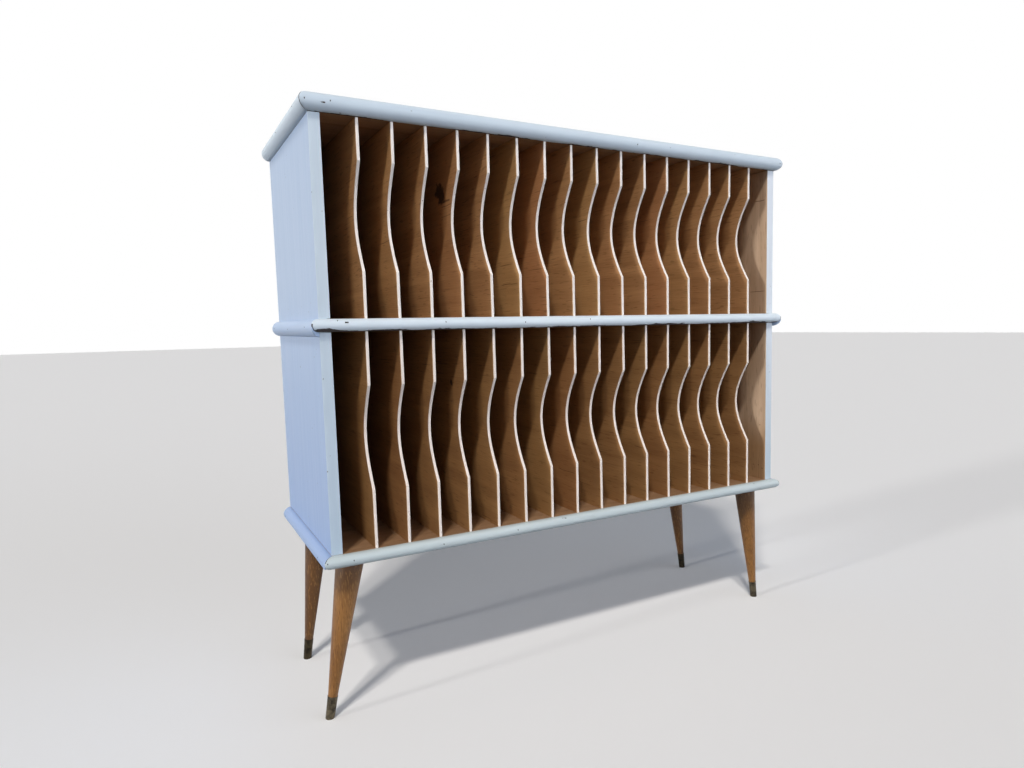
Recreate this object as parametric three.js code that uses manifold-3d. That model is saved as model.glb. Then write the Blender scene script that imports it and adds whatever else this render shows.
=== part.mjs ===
// Record storage stand: a two-tier rack of upright dividers on four splayed, tapered legs.
// Millimetres. +X runs right along the front, the open front faces -Y, +Z is up.
// The origin is on the floor, under the middle of the stand.

import * as THREE from 'three';
import { mergeVertices } from 'three/addons/utils/BufferGeometryUtils.js';
import Module from 'manifold-3d';

const wasm = await Module();
wasm.setup();

// ---------------------------------------------------------------- driving dimensions

// The carcass: three boards, two full-height sides and a thin back
const CARCASS_WIDTH = 1050; // over the outer faces of the sides
const CARCASS_DEPTH = 409; // front edge of the sides to the back face
const LOWER_TIER_CLEAR = 383; // bottom board to the underside of the middle board
const UPPER_TIER_CLEAR = 334; // middle board to the underside of the top board
const TOP_THICKNESS = 30;
const SHELF_THICKNESS = 22; // middle and bottom boards
const SIDE_THICKNESS = 19;
const BACK_THICKNESS = 4;
const BACK_LAP = 8; // how far the back reaches into the sides, top and bottom
const BACK_FIT = 0.3; // clearance round the back, in its rebate
const SHELF_HOUSING_DEPTH = 6; // how far the middle board enters each side
const SHELF_FIT = 0.3; // clearance round the middle board's ends, in their housings

// The dividers: thin upright sheets, housed at both ends
const SLOTS_PER_TIER = 17;
const DIVIDER_THICKNESS = 5;
const DIVIDER_SETBACK = 0.5; // from the front edge of the sides to the dividers' front edge
const DIVIDER_HOUSING_DEPTH = 5;
const DIVIDER_FIT = 0.2; // clearance round a divider, in its housing and at the back
const SCOOP_LENGTH = 185; // finger scoop, measured up the front edge
const SCOOP_DEPTH = 39.5;
const SCOOP_RISE = 5; // centre of the scoop above the middle of its tier
const SCOOP_LEAD = 75; // how far each end of the scoop holds its first slant
const SCOOP_STEPS = 14;

// The lipping: half-round mouldings, mitred at the front corners
const LIPPING_PROJECTION = 15;
const SIDE_LIPPING_HEIGHT = 30; // also the top board's front lipping
const LIPPING_STEPS = 12; // facets round a moulding's nose
const TRIM_STEPS = 4; // half the facets of the rounded end of a trimmed corner
const MITRE_GAP = 0.3;
const CORNER_TRIM = 14; // length cut level with the front lipping, at the bottom side lippings' corners

// The legs: turned, tapered, each screwed to an angled steel plate
const UNDERSIDE_HEIGHT = 299; // floor to the underside of the bottom board
const LEG_TOP_DIAMETER = 49;
const LEG_ANKLE_DIAMETER = 17.2; // where the wood meets the ferrule
const LEG_TOP_CHAMFER = 1.5;
const LEG_INSET = 42; // outer face of a side to the leg's axis, at the underside
const FRONT_LEG_SETBACK = 48; // front edge of the sides to the front legs' axes
const BACK_LEG_SETBACK = 74; // back face to the back legs' axes
const FRONT_LEG_SPLAY = 9.5; // degrees from upright
const BACK_LEG_SPLAY = 7;
const FRONT_LEG_TURN = 16; // degrees the splay swings from square sideways towards the back
const BACK_LEG_TURN = 3;
const LEG_SIDES = 28;

// The ferrules: drawn cups over the legs' tips, with soles cut level with the floor
const FERRULE_LENGTH = 43;
const FERRULE_TOP_DIAMETER = 18.6;
const FERRULE_SOLE_DIAMETER = 16.4;
const FERRULE_WALL = 0.9;
const FERRULE_SOLE_THICKNESS = 4;
const FERRULE_EDGE_RADIUS = 1.6;
const FERRULE_FIT = 0.3; // clearance round the tip of the leg
const SOLE_TRIM = 1.2; // taken off the middle of each sole to level it

// The mounting plates
const PLATE_SIZE = 64;
const PLATE_CORNER_RADIUS = 6;
const PLATE_THICKNESS = 3;
const BOSS_DIAMETER = 36;
const LEG_DROP = 9; // underside of the bottom board to the middle of the leg's top
const LEG_SEAT_GAP = 0.3; // between the boss and the leg
const BOLT_DIAMETER = 8;
const BOLT_FIT = 0.3; // round the bolt, in the boss
const BOLT_REACH = 7; // how far the bolt stands out of the leg
const PLATE_SCREW_HOLE = 4.5;
const PLATE_SCREW_INSET = 9; // edge of the plate to the middle of a screw hole
const PLATE_SIDES = 28;

// ---------------------------------------------------------------- heights and places

const FRONT = -(CARCASS_DEPTH - LIPPING_PROJECTION) / 2; // front edges of the sides
const BACK = FRONT + CARCASS_DEPTH;
const BACK_FACE_INSIDE = BACK - BACK_THICKNESS;
const HALF_WIDTH = CARCASS_WIDTH / 2;
const INNER_HALF_WIDTH = HALF_WIDTH - SIDE_THICKNESS;
const BOTTOM_TOP = UNDERSIDE_HEIGHT + SHELF_THICKNESS;
const MIDDLE_UNDER = BOTTOM_TOP + LOWER_TIER_CLEAR;
const MIDDLE_TOP = MIDDLE_UNDER + SHELF_THICKNESS;
const TOP_UNDER = MIDDLE_TOP + UPPER_TIER_CLEAR;
const TOP = TOP_UNDER + TOP_THICKNESS;
const DIVIDER_PITCH = (2 * INNER_HALF_WIDTH) / SLOTS_PER_TIER;
const DIVIDER_PLACES = Array.from(
  { length: SLOTS_PER_TIER - 1 },
  (_, n) => (n + 1) * DIVIDER_PITCH - INNER_HALF_WIDTH,
);

// ---------------------------------------------------------------- finishes

const paint = (color) => new THREE.MeshStandardMaterial({ color, roughness: 0.45, metalness: 0 });
const bareWood = () => new THREE.MeshStandardMaterial({ color: 0x8a6238, roughness: 0.8, metalness: 0 });
const veneer = () => new THREE.MeshStandardMaterial({ color: 0x94683c, roughness: 0.7, metalness: 0 });
const varnish = () => new THREE.MeshStandardMaterial({ color: 0x8a5628, roughness: 0.4, metalness: 0 });
const brass = () => new THREE.MeshStandardMaterial({ color: 0x6b5636, roughness: 0.5, metalness: 0.8 });
const steel = () => new THREE.MeshStandardMaterial({ color: 0x8d9196, roughness: 0.5, metalness: 0.8 });
const PALE_BLUE = 0xb9c8dc;

// ---------------------------------------------------------------- solids

// A closed geometry as a solid that can be joined and cut
function solid(geometry) {
  const bare = geometry.clone();
  bare.deleteAttribute('normal');
  bare.deleteAttribute('uv');
  const merged = mergeVertices(bare, 1e-4);
  return new wasm.Manifold(new wasm.Mesh({
    numProp: 3,
    vertProperties: new Float32Array(merged.attributes.position.array),
    triVerts: new Uint32Array(merged.index.array),
  }));
}

// A solid back as a geometry
function surface(body) {
  const mesh = body.getMesh();
  const geometry = new THREE.BufferGeometry();
  geometry.setAttribute('position', new THREE.BufferAttribute(new Float32Array(mesh.vertProperties), 3));
  geometry.setIndex(new THREE.BufferAttribute(new Uint32Array(mesh.triVerts), 1));
  geometry.computeVertexNormals();
  return geometry;
}

// A box between two opposite corners
function block(low, high) {
  const geometry = new THREE.BoxGeometry(high[0] - low[0], high[1] - low[1], high[2] - low[2]);
  return geometry.translate((low[0] + high[0]) / 2, (low[1] + high[1]) / 2, (low[2] + high[2]) / 2);
}

function outline(points) {
  return new THREE.Shape(points.map(([a, b]) => new THREE.Vector2(a, b)));
}

// Shape drawn in X and Z, run from front to back
function alongY(shape, front, back) {
  const geometry = new THREE.ExtrudeGeometry(shape, { depth: back - front, bevelEnabled: false });
  return geometry.rotateX(Math.PI / 2).translate(0, back, 0);
}

// Shape drawn in Y and Z, run from left to right
function alongX(shape, left, right) {
  const geometry = new THREE.ExtrudeGeometry(shape, { depth: right - left, bevelEnabled: false });
  const turn = new THREE.Matrix4().makeBasis(
    new THREE.Vector3(0, 1, 0),
    new THREE.Vector3(0, 0, 1),
    new THREE.Vector3(1, 0, 0),
  );
  return geometry.applyMatrix4(turn).translate(left, 0, 0);
}

const stand = new THREE.Group();

function add(name, geometry, material, parent = stand) {
  const mesh = new THREE.Mesh(geometry, material);
  mesh.name = name;
  parent.add(mesh);
  return mesh;
}

// ---------------------------------------------------------------- boards

// Points along one face of a board, from left to right, dipping into each divider's housing
function housedFace(face, inward) {
  const half = DIVIDER_THICKNESS / 2 + DIVIDER_FIT;
  const floor = face + inward * DIVIDER_HOUSING_DEPTH;
  return DIVIDER_PLACES.flatMap((x) => [
    [x - half, face],
    [x - half, floor],
    [x + half, floor],
    [x + half, face],
  ]);
}

// A board with housings in its lower face, its upper face, or both
function board(halfWidth, under, top, housedUnder, housedTop, back) {
  const lower = housedUnder ? housedFace(under, 1) : [];
  const upper = housedTop ? housedFace(top, -1).reverse() : [];
  const points = [
    [-halfWidth, under],
    ...lower,
    [halfWidth, under],
    [halfWidth, top],
    ...upper,
    [-halfWidth, top],
  ];
  return alongY(outline(points), FRONT, back);
}

// The step that the back sheet drops into, cut from the rear of the sides, top and bottom
function backRebate() {
  const reach = INNER_HALF_WIDTH + BACK_LAP;
  return solid(block(
    [-reach, BACK_FACE_INSIDE, BOTTOM_TOP - BACK_LAP],
    [reach, BACK + BACK_THICKNESS, TOP_UNDER + BACK_LAP],
  ));
}

function addBoards() {
  const top = board(HALF_WIDTH, TOP_UNDER, TOP, true, false, BACK);
  const bottom = board(HALF_WIDTH, UNDERSIDE_HEIGHT, BOTTOM_TOP, false, true, BACK);
  const middleReach = INNER_HALF_WIDTH + SHELF_HOUSING_DEPTH - SHELF_FIT;
  const middle = board(middleReach, MIDDLE_UNDER, MIDDLE_TOP, true, true, BACK_FACE_INSIDE);
  add('top_board', surface(solid(top).subtract(backRebate())), paint(PALE_BLUE));
  add('middle_board', middle, bareWood());
  add('bottom_board', surface(solid(bottom).subtract(backRebate())), bareWood());
}

// A side, standing on the bottom board, with a through housing for the middle board
function sidePanel(hand) {
  const outer = hand * HALF_WIDTH;
  const inner = hand * INNER_HALF_WIDTH;
  const housing = hand * (INNER_HALF_WIDTH + SHELF_HOUSING_DEPTH);
  const points = [
    [outer, BOTTOM_TOP],
    [outer, TOP_UNDER],
    [inner, TOP_UNDER],
    [inner, MIDDLE_TOP + SHELF_FIT],
    [housing, MIDDLE_TOP + SHELF_FIT],
    [housing, MIDDLE_UNDER - SHELF_FIT],
    [inner, MIDDLE_UNDER - SHELF_FIT],
    [inner, BOTTOM_TOP],
  ];
  return surface(solid(alongY(outline(points), FRONT, BACK)).subtract(backRebate()));
}

function addSidesAndBack() {
  add('left_side_panel', sidePanel(-1), paint(PALE_BLUE));
  add('right_side_panel', sidePanel(1), paint(PALE_BLUE));
  const reach = INNER_HALF_WIDTH + BACK_LAP - BACK_FIT;
  const sheet = block(
    [-reach, BACK_FACE_INSIDE, BOTTOM_TOP - BACK_LAP + BACK_FIT],
    [reach, BACK, TOP_UNDER + BACK_LAP - BACK_FIT],
  );
  add('back_panel', sheet, veneer());
}

// ---------------------------------------------------------------- dividers

// The curve's handles stand out further than its middle, by this share
const CUBIC_MIDDLE_SHARE = 3 / 4;

// Side view of a divider between two boards, with the finger scoop in its front edge
function dividerOutline(under, over) {
  const front = FRONT + DIVIDER_SETBACK;
  const back = BACK_FACE_INSIDE - DIVIDER_FIT;
  const foot = under - DIVIDER_HOUSING_DEPTH + DIVIDER_FIT;
  const head = over + DIVIDER_HOUSING_DEPTH - DIVIDER_FIT;
  const centre = (under + over) / 2 + SCOOP_RISE;
  const half = SCOOP_LENGTH / 2;
  const handle = front + SCOOP_DEPTH / CUBIC_MIDDLE_SHARE;
  const shape = new THREE.Shape();
  shape.moveTo(back, foot);
  shape.lineTo(back, head);
  shape.lineTo(front, head);
  shape.lineTo(front, centre + half);
  shape.bezierCurveTo(
    handle, centre + half - SCOOP_LEAD,
    handle, centre - half + SCOOP_LEAD,
    front, centre - half,
  );
  shape.lineTo(front, foot);
  shape.closePath();
  return outline(shape.getPoints(SCOOP_STEPS).map((point) => [point.x, point.y]));
}

function addDividers(tier, under, over) {
  const shape = dividerOutline(under, over);
  DIVIDER_PLACES.forEach((x, n) => {
    const sheet = alongX(shape, x - DIVIDER_THICKNESS / 2, x + DIVIDER_THICKNESS / 2);
    add(`${tier}_divider_${String(n + 1).padStart(2, '0')}`, sheet, veneer());
  });
}

// ---------------------------------------------------------------- lipping

// Nose profile, outwards and up: a round nose, with a flat behind it where it is slim
function noseOutline(height) {
  const radius = Math.min(height / 2, LIPPING_PROJECTION);
  const centre = LIPPING_PROJECTION - radius;
  const shape = new THREE.Shape();
  shape.moveTo(0, -height / 2);
  shape.absellipse(centre, 0, radius, height / 2, -Math.PI / 2, Math.PI / 2, false);
  shape.lineTo(0, height / 2);
  shape.closePath();
  return outline(shape.getPoints(LIPPING_STEPS).map((point) => [point.x, point.y]));
}

// A length of moulding. Its ends lean outwards by the given share of the projection: 1 is a mitre
function moulding(height, length, startLean, endLean) {
  const geometry = new THREE.ExtrudeGeometry(noseOutline(height), { depth: length, bevelEnabled: false });
  const places = geometry.attributes.position;
  for (let n = 0; n < places.count; n += 1) {
    const out = places.getX(n);
    const along = places.getZ(n);
    const lean = along > length / 2 ? endLean : -startLean;
    places.setZ(n, along + lean * out);
  }
  return geometry;
}

// Turn a moulding to stand out along a direction, on a line of the carcass
function fitMoulding(geometry, out, start) {
  const up = new THREE.Vector3(0, 0, 1);
  const along = new THREE.Vector3().crossVectors(out, up);
  const turn = new THREE.Matrix4().makeBasis(out, up, along);
  return geometry.applyMatrix4(turn).translate(start[0], start[1], start[2]);
}

const MITRE_SETBACK = MITRE_GAP / Math.SQRT2;

// What comes off below the bottom front lipping, with a rounded end towards the back
function cornerTrim() {
  const foot = BOTTOM_TOP - SIDE_LIPPING_HEIGHT;
  const radius = UNDERSIDE_HEIGHT - foot;
  const ahead = FRONT - 2 * LIPPING_PROJECTION;
  const behind = FRONT + CORNER_TRIM;
  const shape = new THREE.Shape();
  shape.moveTo(ahead, foot - radius);
  shape.lineTo(behind, foot - radius);
  shape.lineTo(behind, foot);
  shape.absarc(behind, UNDERSIDE_HEIGHT, radius, -Math.PI / 2, -Math.PI, true);
  shape.lineTo(ahead, UNDERSIDE_HEIGHT);
  shape.closePath();
  const points = shape.getPoints(TRIM_STEPS).map((point) => [point.x, point.y]);
  const reach = HALF_WIDTH + 2 * LIPPING_PROJECTION;
  return solid(alongX(outline(points), -reach, reach));
}

// Mouldings along the front and both sides of a board. The trim, if any, comes off the side ones
function addLipping(tier, frontHeight, frontCentre, sideCentre, trim) {
  const frontLength = CARCASS_WIDTH - 2 * MITRE_SETBACK;
  const sideLength = CARCASS_DEPTH - MITRE_SETBACK;
  const front = moulding(frontHeight, frontLength, 1, 1);
  const right = moulding(SIDE_LIPPING_HEIGHT, sideLength, 0, 1);
  const left = moulding(SIDE_LIPPING_HEIGHT, sideLength, 1, 0);
  const frontStart = [HALF_WIDTH - MITRE_SETBACK, FRONT, frontCentre];
  const leftStart = [-HALF_WIDTH, FRONT + MITRE_SETBACK, sideCentre];
  fitMoulding(front, new THREE.Vector3(0, -1, 0), frontStart);
  fitMoulding(right, new THREE.Vector3(1, 0, 0), [HALF_WIDTH, BACK, sideCentre]);
  fitMoulding(left, new THREE.Vector3(-1, 0, 0), leftStart);
  const trimmed = (side) => (trim ? surface(solid(side).subtract(trim)) : side);
  add(`${tier}_front_lipping`, front, paint(PALE_BLUE));
  add(`${tier}_right_lipping`, trimmed(right), paint(PALE_BLUE));
  add(`${tier}_left_lipping`, trimmed(left), paint(PALE_BLUE));
}

function addAllLipping() {
  const topCentre = TOP_UNDER + TOP_THICKNESS / 2;
  const middleCentre = MIDDLE_UNDER + SHELF_THICKNESS / 2;
  const bottomCentre = UNDERSIDE_HEIGHT + SHELF_THICKNESS / 2;
  addLipping('top', TOP_THICKNESS, topCentre, TOP - SIDE_LIPPING_HEIGHT / 2);
  addLipping('middle', SHELF_THICKNESS, middleCentre, MIDDLE_TOP - SIDE_LIPPING_HEIGHT / 2);
  addLipping('bottom', SHELF_THICKNESS, bottomCentre, BOTTOM_TOP - SIDE_LIPPING_HEIGHT / 2, cornerTrim());
}

// ---------------------------------------------------------------- legs

// Where a leg stands and how it leans. Its own +Z runs up its axis, from the middle of its top face
function legStation(hand, row) {
  const isFront = row === 'front';
  const splay = THREE.MathUtils.degToRad(isFront ? FRONT_LEG_SPLAY : BACK_LEG_SPLAY);
  const turn = THREE.MathUtils.degToRad(isFront ? FRONT_LEG_TURN : BACK_LEG_TURN);
  const heading = hand > 0 ? turn : Math.PI - turn;
  const x = hand * (HALF_WIDTH - LEG_INSET);
  const y = isFront ? FRONT + FRONT_LEG_SETBACK : BACK - BACK_LEG_SETBACK;
  const lean = new THREE.Group();
  lean.position.set(x, y, UNDERSIDE_HEIGHT);
  lean.rotation.set(0, -splay, heading, 'ZYX');
  lean.translateZ(-LEG_DROP / Math.cos(splay));
  lean.updateMatrixWorld(true);
  const length = (UNDERSIDE_HEIGHT - LEG_DROP) / Math.cos(splay);
  return { x, y, heading, length, lean };
}

function turned(points, sides) {
  const profile = points.map(([radius, height]) => new THREE.Vector2(radius, height));
  return new THREE.LatheGeometry(profile, sides).rotateX(Math.PI / 2);
}

// A tapered leg with a stub of its bolt at the top and a turned-down tip for the ferrule
function legGeometry(length) {
  const top = LEG_TOP_DIAMETER / 2;
  const ankle = LEG_ANKLE_DIAMETER / 2;
  const shoulder = FERRULE_LENGTH - length;
  const tipEnd = FERRULE_SOLE_THICKNESS + FERRULE_FIT - length;
  const tipTop = FERRULE_TOP_DIAMETER / 2 - FERRULE_WALL - FERRULE_FIT;
  const tipFoot = FERRULE_SOLE_DIAMETER / 2 - FERRULE_WALL - FERRULE_FIT;
  return turned([
    [0, tipEnd],
    [tipFoot, tipEnd],
    [tipTop, shoulder],
    [ankle, shoulder + FERRULE_FIT],
    [top, -LEG_TOP_CHAMFER],
    [top - LEG_TOP_CHAMFER, 0],
    [BOLT_DIAMETER / 2, 0],
    [BOLT_DIAMETER / 2, BOLT_REACH],
    [0, BOLT_REACH],
  ], LEG_SIDES);
}

// A drawn cup, open at the top, with a rolled edge round its sole
function ferruleGeometry(length) {
  const mouth = FERRULE_LENGTH - length;
  const sole = -SOLE_TRIM - length;
  const cupFloor = FERRULE_SOLE_THICKNESS - length;
  const topRadius = FERRULE_TOP_DIAMETER / 2;
  const soleRadius = FERRULE_SOLE_DIAMETER / 2;
  const edge = FERRULE_EDGE_RADIUS;
  const halfway = edge * (1 - Math.SQRT1_2);
  return turned([
    [0, sole],
    [soleRadius - edge, sole],
    [soleRadius - halfway, sole + halfway],
    [soleRadius, sole + edge],
    [topRadius, mouth],
    [topRadius - FERRULE_WALL, mouth],
    [soleRadius - FERRULE_WALL, cupFloor],
    [0, cupFloor],
  ], LEG_SIDES);
}

// The half of space above the floor, near one leg
function aboveFloor(place) {
  const reach = FERRULE_LENGTH + place.length;
  return solid(block(
    [place.x - reach, place.y - reach, 0],
    [place.x + reach, place.y + reach, UNDERSIDE_HEIGHT],
  ));
}

// A square plate with rounded corners, a screw hole near each corner and a sloped boss for the leg
function plateGeometry(place) {
  const half = PLATE_SIZE / 2;
  const corner = PLATE_CORNER_RADIUS;
  const shape = new THREE.Shape();
  shape.moveTo(half, half - corner);
  shape.absarc(half - corner, half - corner, corner, 0, Math.PI / 2);
  shape.absarc(corner - half, half - corner, corner, Math.PI / 2, Math.PI);
  shape.absarc(corner - half, corner - half, corner, Math.PI, 1.5 * Math.PI);
  shape.absarc(half - corner, corner - half, corner, 1.5 * Math.PI, 2 * Math.PI);
  const hole = half - PLATE_SCREW_INSET;
  for (const [x, y] of [[hole, hole], [-hole, hole], [-hole, -hole], [hole, -hole]]) {
    shape.holes.push(new THREE.Path().absarc(x, y, PLATE_SCREW_HOLE / 2, 0, 2 * Math.PI, true));
  }
  const settings = { depth: PLATE_THICKNESS, bevelEnabled: false, curveSegments: 4 };
  const flat = new THREE.ExtrudeGeometry(shape, settings).rotateZ(place.heading);
  flat.translate(place.x, place.y, UNDERSIDE_HEIGHT - PLATE_THICKNESS);
  const rod = (radius, low, high) => {
    const geometry = new THREE.CylinderGeometry(radius, radius, high - low, PLATE_SIDES);
    geometry.rotateX(Math.PI / 2).translate(0, 0, (low + high) / 2);
    return solid(geometry.applyMatrix4(place.lean.matrixWorld));
  };
  const past = LEG_DROP + PLATE_SIZE;
  const boss = rod(BOSS_DIAMETER / 2, LEG_SEAT_GAP, past);
  const bore = rod(BOLT_DIAMETER / 2 + BOLT_FIT, -past, 2 * past);
  const below = solid(block(
    [place.x - past, place.y - past, 0],
    [place.x + past, place.y + past, UNDERSIDE_HEIGHT],
  ));
  return surface(boss.intersect(below).add(solid(flat)).subtract(bore));
}

function addLeg(hand, row) {
  const name = `${row}_${hand > 0 ? 'right' : 'left'}`;
  const place = legStation(hand, row);
  const cup = ferruleGeometry(place.length).applyMatrix4(place.lean.matrixWorld);
  add(`${name}_leg`, legGeometry(place.length), varnish(), place.lean);
  add(`${name}_ferrule`, surface(solid(cup).intersect(aboveFloor(place))), brass());
  add(`${name}_leg_plate`, plateGeometry(place), steel());
  stand.add(place.lean);
}

// ---------------------------------------------------------------- assembly

addBoards();
addSidesAndBack();
addDividers('lower', BOTTOM_TOP, MIDDLE_UNDER);
addDividers('upper', MIDDLE_TOP, TOP_UNDER);
addAllLipping();
for (const row of ['front', 'back']) {
  addLeg(-1, row);
  addLeg(1, row);
}

export default stand;
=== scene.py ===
import math
from functools import partial

import bmesh
import bpy
from mathutils import Matrix, Vector


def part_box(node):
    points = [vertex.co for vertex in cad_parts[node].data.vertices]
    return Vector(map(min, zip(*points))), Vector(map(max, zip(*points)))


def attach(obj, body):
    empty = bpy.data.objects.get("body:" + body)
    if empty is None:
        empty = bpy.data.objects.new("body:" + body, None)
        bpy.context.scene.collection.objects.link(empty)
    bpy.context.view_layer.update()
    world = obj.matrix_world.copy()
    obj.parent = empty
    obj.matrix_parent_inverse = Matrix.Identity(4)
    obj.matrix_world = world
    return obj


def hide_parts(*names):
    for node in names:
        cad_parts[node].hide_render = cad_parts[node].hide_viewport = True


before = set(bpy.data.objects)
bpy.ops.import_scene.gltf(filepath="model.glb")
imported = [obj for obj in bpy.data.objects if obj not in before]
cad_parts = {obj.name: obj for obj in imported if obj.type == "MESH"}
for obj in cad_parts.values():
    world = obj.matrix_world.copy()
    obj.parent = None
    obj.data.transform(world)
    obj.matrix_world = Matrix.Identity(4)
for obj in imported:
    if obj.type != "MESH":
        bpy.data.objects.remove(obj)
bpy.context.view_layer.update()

# -------------------- the place it is seen in
# The stand is seen from the front left at chest height, with a plain pale floor under it.
# Two high warm lamps to the front left throw the boards' shade down into the slots, a low one
# from the far left reaches along the finger scoops, and cool light comes round both corners.

camera = bpy.data.objects.new("camera", bpy.data.cameras.new("camera"))
bpy.context.scene.collection.objects.link(camera)
camera.location = (-0.7730, -1.4410, 0.7107)
camera.rotation_euler = (math.radians(84.148), math.radians(1.072), math.radians(-30.998))
camera.data.lens = 25.137
camera.data.sensor_width = 36
camera.data.shift_x = -0.0630
camera.data.shift_y = 0.0124
bpy.context.scene.camera = camera
bpy.context.scene.view_settings.view_transform = "Standard"


def put(tree, kind, inputs=None, **settings):
    """Adds a node. A value given for an input is set, and an output is linked to it."""
    node = tree.nodes.new(kind)
    for key, value in settings.items():
        setattr(node, key, value)
    for key, value in (inputs or {}).items():
        if isinstance(value, bpy.types.NodeSocket):
            tree.links.new(value, node.inputs[key])
        else:
            node.inputs[key].default_value = value
    return node


def reckon(operation, first, second=0.0, clamp=False):
    """One sum on numbers, in the tree that one of them comes from."""
    tree = first.id_data if isinstance(first, bpy.types.NodeSocket) else second.id_data
    node = put(tree, "ShaderNodeMath", {0: first, 1: second}, operation=operation, use_clamp=clamp)
    return node.outputs[0]


plus = partial(reckon, "ADD")
minus = partial(reckon, "SUBTRACT")
times = partial(reckon, "MULTIPLY")
over = partial(reckon, "DIVIDE")


def lamp(name, heading, strength, softness, colour):
    """A distant lamp whose light travels along a heading, at a share of the plain level."""
    light = bpy.data.lights.new(name, "SUN")
    light.color = colour
    light.energy = strength * math.pi
    light.angle = math.radians(softness)
    holder = bpy.data.objects.new(name, light)
    holder.rotation_euler = Vector(heading).to_track_quat("-Z", "Y").to_euler()
    bpy.context.scene.collection.objects.link(holder)


WARM = (1.0, 0.95, 0.89)
lamp("high_front_lamp", (0.68, 1.0, -1.46), 0.30, 4.0, WARM)
lamp("high_left_lamp", (0.90, 1.0, -1.46), 0.30, 4.0, WARM)
lamp("low_left_lamp", (0.982, 0.08, -0.17), 0.40, 5.0, (1.0, 0.98, 0.95))


def seen_or_lighting(tree, seen, lighting):
    """One shader for what the camera sees, also by way of metal or glass, and one for the rest."""
    ray = put(tree, "ShaderNodeLightPath").outputs
    sees = reckon("MAXIMUM", ray["Is Camera Ray"], ray["Is Glossy Ray"])
    sees = reckon("MAXIMUM", sees, ray["Is Transmission Ray"])
    both = {0: sees, 1: lighting.outputs[0], 2: seen.outputs[0]}
    return put(tree, "ShaderNodeMixShader", both).outputs[0]


# The room glows at a level that falls off upwards, and more strongly in each bright way,
# which has a heading, a strength and a narrowness
COOL = (0.90, 0.97, 1.10, 1)
LEVEL_AT_THE_HORIZON = 0.6
FALL_OFF_UPWARDS = 3.5
BRIGHT_WAYS = (((0.64, -0.77, 0.0), 9.7, 4.0), ((-0.87, 0.50, 0.0), 5.8, 3.0))


def light_room(tree):
    heading = put(tree, "ShaderNodeTexCoord").outputs["Generated"]
    climb = put(tree, "ShaderNodeSeparateXYZ", {0: heading}).outputs[2]
    level = LEVEL_AT_THE_HORIZON
    for way, strength, narrowness in BRIGHT_WAYS:
        facing = put(tree, "ShaderNodeVectorMath", {0: heading, 1: way}, operation="DOT_PRODUCT")
        facing = reckon("MAXIMUM", facing.outputs["Value"], 0.0)
        glow = times(reckon("POWER", facing, narrowness), strength)
        level = plus(glow, level)
    lower = minus(1.0, climb, True)
    level = times(reckon("POWER", lower, FALL_OFF_UPWARDS), level)
    soft = put(tree, "ShaderNodeBackground", {"Color": COOL, "Strength": level})
    white = put(tree, "ShaderNodeBackground", {"Color": (1, 1, 1, 1), "Strength": 1.0})
    put(tree, "ShaderNodeOutputWorld", {"Surface": seen_or_lighting(tree, white, soft)})


room = bpy.data.worlds.new("room")
room.use_nodes = True
room.node_tree.nodes.clear()
light_room(room.node_tree)
bpy.context.scene.world = room

FLOOR_REACH = 30.0
FLOOR_SHOWN = (0.95, 0.95, 0.95, 1)
FLOOR_BOUNCE = (0.09, 0.09, 0.09, 1)
floor_mesh = bpy.data.meshes.new("floor")
corners = ((-1, -1), (1, -1), (1, 1), (-1, 1))
floor_mesh.from_pydata([(x * FLOOR_REACH, y * FLOOR_REACH, 0) for x, y in corners], [], [(0, 1, 2, 3)])
floor = bpy.data.objects.new("floor", floor_mesh)
bpy.context.scene.collection.objects.link(floor)
pale = bpy.data.materials.new("pale_floor")
pale.use_nodes = True
pale.node_tree.nodes.clear()
shown = put(pale.node_tree, "ShaderNodeBsdfDiffuse", {"Color": FLOOR_SHOWN})
bounce = put(pale.node_tree, "ShaderNodeBsdfDiffuse", {"Color": FLOOR_BOUNCE})
surface = seen_or_lighting(pale.node_tree, shown, bounce)
put(pale.node_tree, "ShaderNodeOutputMaterial", {"Surface": surface})
floor_mesh.materials.append(pale)

# -------------------- boards
# The top, middle and bottom are solid softwood boards with grooves for the dividers, left
# bare inside the slots. Only the top's upper face is painted. Their arrises are just
# broken with sandpaper before the stand goes together.

MM = 0.001
BOARD_EASE = 0.5 * MM


def place_on(tree):
    return put(tree, "ShaderNodeTexCoord").outputs["Object"]


def axes_on(tree):
    """The three coordinates of a place on the piece, in metres."""
    return put(tree, "ShaderNodeSeparateXYZ", {0: place_on(tree)}).outputs


def speckle(vector, scale, detail=2.0, roughness=0.5, distortion=0.0):
    node = put(vector.id_data, "ShaderNodeTexNoise", {
        "Vector": vector, "Scale": scale, "Detail": detail,
        "Roughness": roughness, "Distortion": distortion,
    })
    return node.outputs["Fac"]


def grain(tree, along, scale, stretch, *character):
    """A noise on the piece, drawn out along the way its fibres or brush marks run."""
    size = [scale / stretch if axis == along else scale for axis in "XYZ"]
    drawn_out = put(tree, "ShaderNodeMapping", {"Vector": place_on(tree), "Scale": size})
    return speckle(drawn_out.outputs[0], 1.0, *character)


def spread(value, low, high, floor_value=0.0, top_value=1.0):
    """Stretches one range of a pattern over another."""
    node = put(value.id_data, "ShaderNodeMapRange", {
        "Value": value, "From Min": low, "From Max": high,
        "To Min": floor_value, "To Max": top_value,
    })
    return node.outputs[0]


NOISE_LOW = 0.3
NOISE_HIGH = 0.7


def widened(noise, floor_value=0.0, top_value=1.0):
    """Stretches the usual range of a noise over another."""
    return spread(noise, NOISE_LOW, NOISE_HIGH, floor_value, top_value)


def layered(layers):
    """Adds up noises, each given with its share."""
    first, *others = [times(widened(noise), share) for noise, share in layers]
    for layer in others:
        first = plus(first, layer)
    return first


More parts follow.
